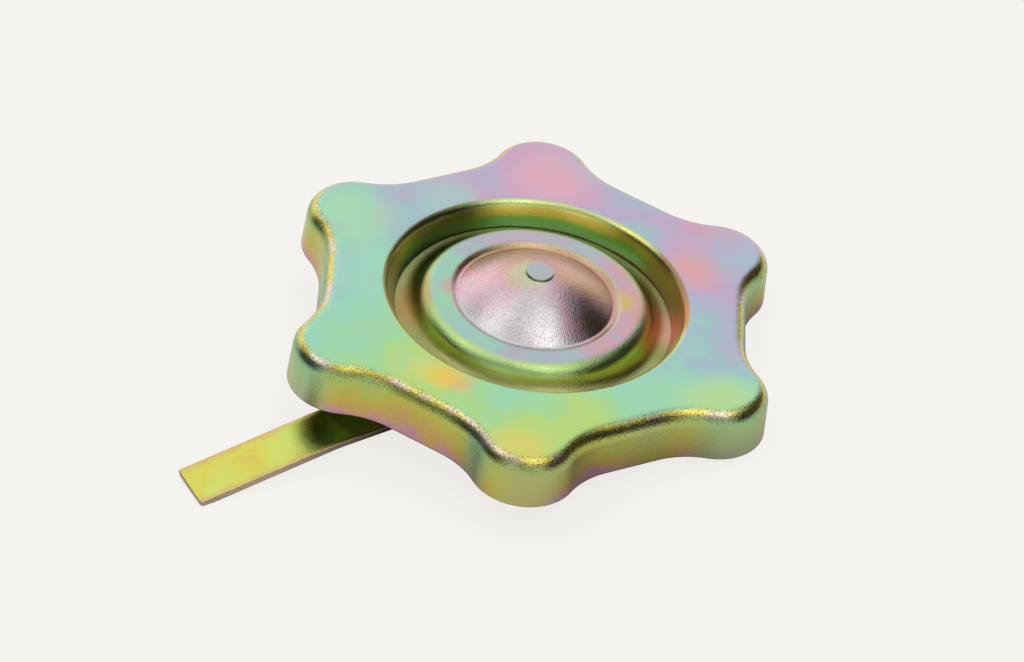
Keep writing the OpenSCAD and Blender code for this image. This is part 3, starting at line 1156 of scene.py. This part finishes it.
# studio
@dataclass(frozen=True)
class Viewpoint:
    """The camera's place round the cap, solved from the outline in the photograph.

    Attributes:
        turn: Turn of the camera's ground about Z, in degrees.
        rise: Height of the camera over the cap's plane, in degrees.
        roll: Roll of the camera, in degrees.
        distance: Distance from the point it looks at, in metres.
        target_z: Height of that point on the axis, in metres.
        lens: Focal length, in mm.
        shift: Shift that frames the cap as the photograph does.
    """

    turn: float = 34.06
    rise: float = 38.02
    roll: float = 9.5
    distance: float = 0.636
    target_z: float = HANDLE_Z * MM
    lens: float = 187.5
    shift: tuple[float, float] = (-0.0239, -0.0371)

    def to_model(self, v: Vector) -> Vector:
        """A direction given as (right, away, up) of the camera's ground, in the model's frame."""
        return Matrix.Rotation(-math.radians(self.turn), 3, "Z") @ v

    def axes(self) -> tuple[Vector, Vector, Vector]:
        """The camera's right, up and back directions in the model's frame."""
        e, r = math.radians(self.rise), math.radians(self.roll)
        right = Vector((math.cos(r), math.sin(e) * math.sin(r), math.cos(e) * math.sin(r)))
        up = Vector((-math.sin(r), math.sin(e) * math.cos(r), math.cos(e) * math.cos(r)))
        back = Vector((0, -math.cos(e), math.sin(e)))
        return self.to_model(right), self.to_model(up), self.to_model(back)

    def build(self) -> bpy.types.Object:
        """Add the camera and make it the scene's."""
        right, up, back = self.axes()
        data = bpy.data.cameras.new("camera")
        data.sensor_width, data.lens = 36.0, self.lens
        data.shift_x, data.shift_y = self.shift
        data.clip_start, data.clip_end = 0.01, 20.0
        camera = bpy.data.objects.new("camera", data)
        bpy.context.scene.collection.objects.link(camera)
        turn = Matrix((right, up, back)).transposed().to_4x4()
        spot = Vector((0, 0, self.target_z)) + back * self.distance
        camera.matrix_world = Matrix.Translation(spot) @ turn
        bpy.context.scene.camera = camera
        return camera


@dataclass(frozen=True)
class Studio:
    """Floor, surroundings and lamps. The cap lies on two lobes and on its dipstick's tip.

    Attributes:
        view: The camera's place, from which the room is laid out.
        up: The floor's normal, in the model's frame.
        rest: Distance of the floor from the origin along that normal, in metres.
        span: Side of the floor, in metres.
        paper: Colour of floor and background.
        grey: How much of the lamps' light the floor gives back, from 0 to 1.
        shine: Light of the floor itself, where 1 is white.
        shade: Radii between which reflections of the floor go from dark to bright, in mm.
        room: Strength of the surroundings as the cap sees them.
        below: Light from below the floor.
        darks: How dark the sides, the left and the front are, from 0 to 1.
        glows: Soft lights: half of its width in degrees, its strength, and its direction as
            (right, away, up) of the camera's ground.
    """

    view: Viewpoint
    up: Point3 = (-0.1145, 0.066, 0.991)
    rest: float = -4.338 * MM
    span: float = 6.0
    paper: str = "f6f4f0"
    grey: float = 0.14
    shine: float = 0.885
    shade: Point = (21.0, 40.0)
    room: float = 0.925
    below: float = 1.2
    darks: Point3 = (0.95, 0.9, 0.5)
    glows: tuple[tuple[float, float, Point3], ...] = (
        (17.0, 0.5, (0.28, -0.38, 0.88)), (15.0, 0.45, (-0.6, 0.0, 0.8)),
        (20.0, 0.45, (0.4, -0.75, 0.42)), (20.0, 0.45, (-0.3, -0.85, 0.42)),
        (24.0, 0.3, (-0.6, 0.75, 0.28)))

    def floor(self) -> None:
        """A large pale floor under the cap, tilted as the cap lies on it."""
        normal = Vector(self.up).normalized()
        deselect_all()
        bpy.ops.mesh.primitive_plane_add(size=self.span, location=(0, 0, 0))
        plane = bpy.context.object
        plane.name = "floor"
        plane.matrix_world = Matrix.Translation(normal * self.rest) @ \
            normal.to_track_quat("Z", "Y").to_matrix().to_4x4()
        g = new_material("floor_paper")
        paper = g.node("ShaderNodeBsdfDiffuse", None, {"Color": (*[self.grey] * 3, 1)})
        seen = g.node("ShaderNodeLightPath")["Is Camera Ray"]
        lit_part = seen + (1.0 - seen) * g.radius().high(*self.shade)
        glow = g.node("ShaderNodeEmission", None, {
            "Color": linear(self.paper), "Strength": lit_part * self.shine})
        lit = g.node("ShaderNodeAddShader", None, {0: paper, 1: glow})
        clear = g.node("ShaderNodeBsdfTransparent")
        under = g.node("ShaderNodeNewGeometry")["Backfacing"]
        plane.data.materials.append(g.finish(g.node("ShaderNodeMixShader", None, {
            0: under, 1: lit, 2: clear})))

    def surroundings(self) -> None:
        """Pale paper behind and above with dark sides; the camera itself sees plain paper."""
        world = bpy.data.worlds.new("studio")
        bpy.context.scene.world = world
        g = Graph(world)
        ray = g.node("ShaderNodeTexCoord")["Generated"]

        def along(v: Point3) -> Wire:
            """How far the ray points along a direction of the camera's ground."""
            return g.along(ray, self.view.to_model(Vector(v).normalized()))

        right, away, up = along((1, 0, 0)), along((0, 1, 0)), along((0, 0, 1))
        ahead = (away * 0.5).most(away * -0.95)
        sides = (right - ahead).high(0.0, 0.25)
        behind = (away * 2.2).most(away * -0.95)
        left = (0.0 - right - behind).high(0.0, 0.25) * up.high(0.74, 0.5)
        low = up.high(0.95, 0.72)
        front = (0.1 - away).high(0.0, 0.4) * up.high(1.0, 0.86) * up.high(0.15, 0.4)
        dark_sides, dark_left, dark_front = self.darks
        light = ((1.0 - sides * low * dark_sides) * (1.0 - left * dark_left)
                 * (1.0 - front * dark_front))
        light = light + (0.0 - up).high(0.1, 0.8) * self.below
        for spread, strength, v in self.glows:
            light = light + along(v).high(math.cos(math.radians(spread)), 1.0) * strength
        tone = g.node("ShaderNodeCombineColor", None, {"Red": light, "Green": light, "Blue": light})
        room = g.node("ShaderNodeBackground", None, {"Color": tone[0], "Strength": self.room})
        seen = g.node("ShaderNodeBackground", None, {"Color": linear(self.paper)})
        path = g.node("ShaderNodeLightPath")["Is Camera Ray"]
        g.finish(g.node("ShaderNodeMixShader", None, {0: path, 1: room, 2: seen}))

    def lamp(self, name: str, toward: Point3, size: float, power: float,
             distance: float = 1.2) -> None:
        """An area lamp that shines at the cap.

        Args:
            name: Name of the lamp.
            toward: Its direction from the cap as (right, away, up) of the camera's ground.
            size: Side of its square, in metres.
            power: Its power, in watts.
            distance: Its distance, in metres.
        """
        data = bpy.data.lights.new(name, "AREA")
        data.size, data.energy = size, power
        lamp = bpy.data.objects.new(name, data)
        bpy.context.scene.collection.objects.link(lamp)
        ray = self.view.to_model(Vector(toward).normalized())
        lamp.matrix_world = Matrix.Translation(ray * distance) @ \
            ray.to_track_quat("Z", "Y").to_matrix().to_4x4()

    def build(self) -> None:
        """Floor, surroundings and lamps."""
        self.floor()
        self.surroundings()
        self.lamp("softbox_front", (0.27, -0.32, 0.9), size=0.6, power=1.0)
        self.lamp("softbox_left", (-0.56, -0.15, 0.82), size=0.5, power=0.5)


# patches of the film, placed as on the real sheets, and patches of painted dark reflection on the dome
# and the strip
HANDLE_PATCHES = (
    Patch(20.5, -2.2, 0.5, 5.0, "eaaca4", 0.65, 5.0),
    Patch(12.5, 19.5, 2.0, 8.0, "f0aebe", 0.75),
    Patch(-19.6, -8.4, 0.5, 3.6, "e0dc78", 0.75, 4.5),
    Patch(-17.0, -11.2, 0.5, 2.6, "ecb08c", 0.6, 4.5),
    Patch(-18.3, -10.2, 0.5, 3.2, "f2ce60", 0.8, 4.5),
    Patch(-18.6, 11.2, 1.5, 6.0, "a8e2c6", 0.6),
    Patch(-14.6, 20.8, 2.0, 8.0, "b0e6b2", 0.65),
    Patch(-1.7, 19.5, 1.5, 6.0, "a8d6ca", 0.65),
    Patch(-15.3, -24.9, 1.5, 5.0, "e6d870", 0.75),
    Patch(11.1, -25.0, 1.5, 6.5, "c4e294", 0.7),
    Patch(27.8, -0.9, 2.0, 8.0, "b6c2d4", 0.65),
)
SKIRT_PATCHES = (
    Patch(-31.4, -1.8, 0.5, 5.0, "84b8a0", 0.55, 5.0),
    Patch(-18.9, -21.1, 0.5, 3.0, "84b4a4", 0.5),
    Patch(11.9, -28.2, 2.0, 7.0, "90b890", 0.65),
    Patch(-15.1, -27.9, 2.0, 6.0, "a4ac78", 0.6),
    Patch(2.0, -25.6, 2.0, 7.0, "bcb868", 0.55),
)
DOME_PATCHES = (
    Patch(5.0, 6.5, 1.0, 5.0, "e4b8a0", 0.6, 1.5),
    Patch(5.0, -2.0, 1.0, 4.5, "d8b084", 0.6, 1.5),
    Patch(-1.4, 0.4, 1.2, 3.4, "c6dc9c", 0.6, 1.2),
    # The darker brown patch at the dome's near right is painted dark reflection, where the dome mirrors
    # a dark side of the room.
    Patch(4.2, -7.6, 0.5, 3.0, "a89468", 0.6, 1.5),
)
WALL_PATCHES = (
    Patch(14.9, -8.5, 2.0, 7.0, "cc7448", 0.85),
    Patch(17.4, -2.0, 2.0, 7.0, "9c6c48", 0.8),
    Patch(-14.8, 9.6, 2.0, 8.0, "a08c5c", 0.75),
    Patch(-4.0, 17.2, 2.0, 9.0, "6c6c48", 0.75),
)
FLANK_PATCHES = (
    Patch(13.4, -7.6, 1.0, 5.5, "dca090", 0.75),
    Patch(-13.2, 5.6, 1.0, 5.0, "b88a54", 0.6),
)
LEDGE_PATCHES = (
    Patch(9.3, -4.4, 0.6, 2.6, "dcc05c", 0.85, 1.6),
    Patch(-8.4, 4.6, 0.6, 2.8, "dc9ca4", 0.7, 1.6),
)


# main
def main() -> None:
    """Build the cap, its surroundings and the camera, in order."""
    logging.basicConfig(level=logging.INFO, format="%(name)s: %(message)s")
    bpy.context.scene.view_settings.view_transform = "Standard"
    view = Viewpoint()
    view.build()
    Studio(view).build()
    top = Plating("handle_film", Film.TOP, Film.SIDE, start=0.37, swing=0.65,
                  slant=(7.5, 9.4, 0.0), patches=HANDLE_PATCHES, sides=SKIRT_PATCHES,
                  wall=Wall(Film.WALL, FLANGE_Z, HANDLE_Z, 19.5, patches=WALL_PATCHES))
    centre = Plating("centre_film", Film.LEDGE, Film.SIDE, patch=8.0, start=0.46, swing=0.6,
                     slant=(14.0, -8.0, 0.0), rough=0.17, relief=1.0, patches=LEDGE_PATCHES,
                     wall=Wall(Film.FLANK, FLANGE_Z, RING_Z, 19.0, 14.2, FLANK_PATCHES),
                     # the dome's drift runs from its near side to its far side: painted highlight near,
                     # painted darker reflection far, over the film's own tints
                     crown=Crown(Film.DOME, 10.2, (22.4, 33.1, 0.0), DOME_PATCHES))
    strip = Plating("strip_film", Film.STRIP, Film.EDGE, turn=("a09078", "8c7c70"),
                    foot=(-12.0, 14.0), patch=10.0, start=0.5, swing=0.9, rough=0.12,
                    # the dark olive patch at the strip's root is painted dark reflection: the shaded
                    # underside of the handle as mirrored in the strip
                    patches=(Patch(-20.5, -3.3, 6.0, 7.2, "4c5424", 0.65, 1.6),),
                    border=Border(-3.3, 1.9, 3.2, "dcae80"))
    parts: list[Part] = [
        Handle("star_handle", "handle_plating", top),
        CentrePressing("centre_pressing", "centre_plating", centre),
        Seal("seal_ring", "seal_rubber", Rubber()),
        Cup("locking_cup", "cup_plating", Plating("cup_film", Film.STRIP, Film.SIDE)),
        Rivet("centre_rivet", "rivet_plating",
              Plating("rivet_film", Film.LEDGE, Film.SIDE, start=0.52, swing=0.25)),
        Pin("hinge_pin", "rivet_plating", Plating("pin_film", Film.STRIP, Film.SIDE)),
        Dipstick("dipstick", "strip_plating", strip, body="dipstick"),
    ]
    for part in parts:
        part.build()


if __name__ == "__main__":
    main()
